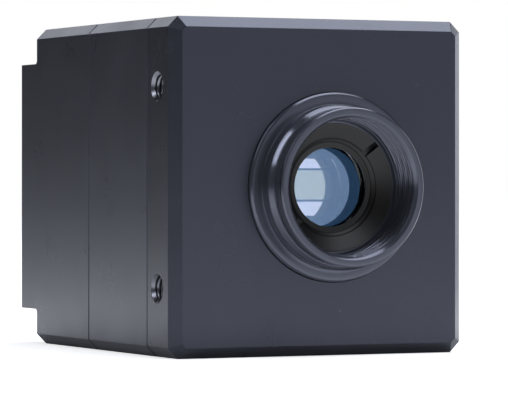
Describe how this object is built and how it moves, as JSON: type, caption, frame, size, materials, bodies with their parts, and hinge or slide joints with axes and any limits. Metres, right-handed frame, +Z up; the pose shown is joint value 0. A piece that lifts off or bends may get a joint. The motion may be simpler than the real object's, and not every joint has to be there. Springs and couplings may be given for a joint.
{
  "type": "machine vision camera",
  "caption": "Box-shaped industrial camera of stacked anodised aluminium blocks with a raised, threaded C-mount lens opening, blue filter glass and side mounting threads.",
  "frame": {"origin": "centre of the lens mount's front rim, where a lens seats, on the optical axis", "axes": "+Y along the optical axis from the lens towards the rear, +X to the right seen from the front, +Z up"},
  "size_m": [0.058, 0.0856, 0.06],
  "materials": {
    "anodised_housing": "fine bead-blasted, dark grey anodised",
    "anodised_mount": "turned, dark grey anodised",
    "black_baffle": "matt black anodised",
    "filter_glass": "polished, blue-green interference coating",
    "cover_glass": "polished",
    "silicon": "mirror-like bare die",
    "ceramic": "fired dark alumina",
    "circuit_board": "solder resist",
    "stainless_screw": "stainless steel",
    "brass_spacer": "nickel-free turned brass",
    "seal_rubber": "matt black",
    "moulded_black": "moulded",
    "chip_epoxy": "moulded epoxy",
    "thermal_gel": "soft grey pad",
    "polyimide": "amber film",
    "plated_shell": "bright nickel plate",
    "gold_contact": "gold plate",
    "light_pipe": "milky clear"
  },
  "bodies": {
    "root": {"front_housing": "anodised_housing", "middle_housing": "anodised_housing", "rear_housing": "anodised_housing", "front_gasket": "seal_rubber", "rear_gasket": "seal_rubber", "corner_screws": "stainless_screw", "lens_mount": "anodised_mount", "mount_screws": "stainless_screw", "retaining_ring": "black_baffle", "filter_window": "filter_glass", "filter_seal": "seal_rubber", "sensor_package": "ceramic", "sensor_die": "silicon", "sensor_cover_glass": "cover_glass", "sensor_board": "circuit_board", "sensor_spacers": "brass_spacer", "sensor_screws": "stainless_screw", "board_link": "moulded_black", "thermal_pad": "thermal_gel", "processor_chip": "chip_epoxy", "processor_board": "circuit_board", "processor_spacers": "brass_spacer", "processor_screws": "stainless_screw", "interface_board": "circuit_board", "interface_spacers": "brass_spacer", "interface_screws": "stainless_screw", "cable_socket_front": "moulded_black", "cable_socket_rear": "moulded_black", "flat_cable": "polyimide", "data_socket_shell": "plated_shell", "data_socket_core": "moulded_black", "data_contacts": "gold_contact", "power_socket_shell": "plated_shell", "power_socket_nut": "plated_shell", "power_socket_core": "moulded_black", "power_pins": "gold_contact", "status_light": "light_pipe"}
  },
  "joints": []
}
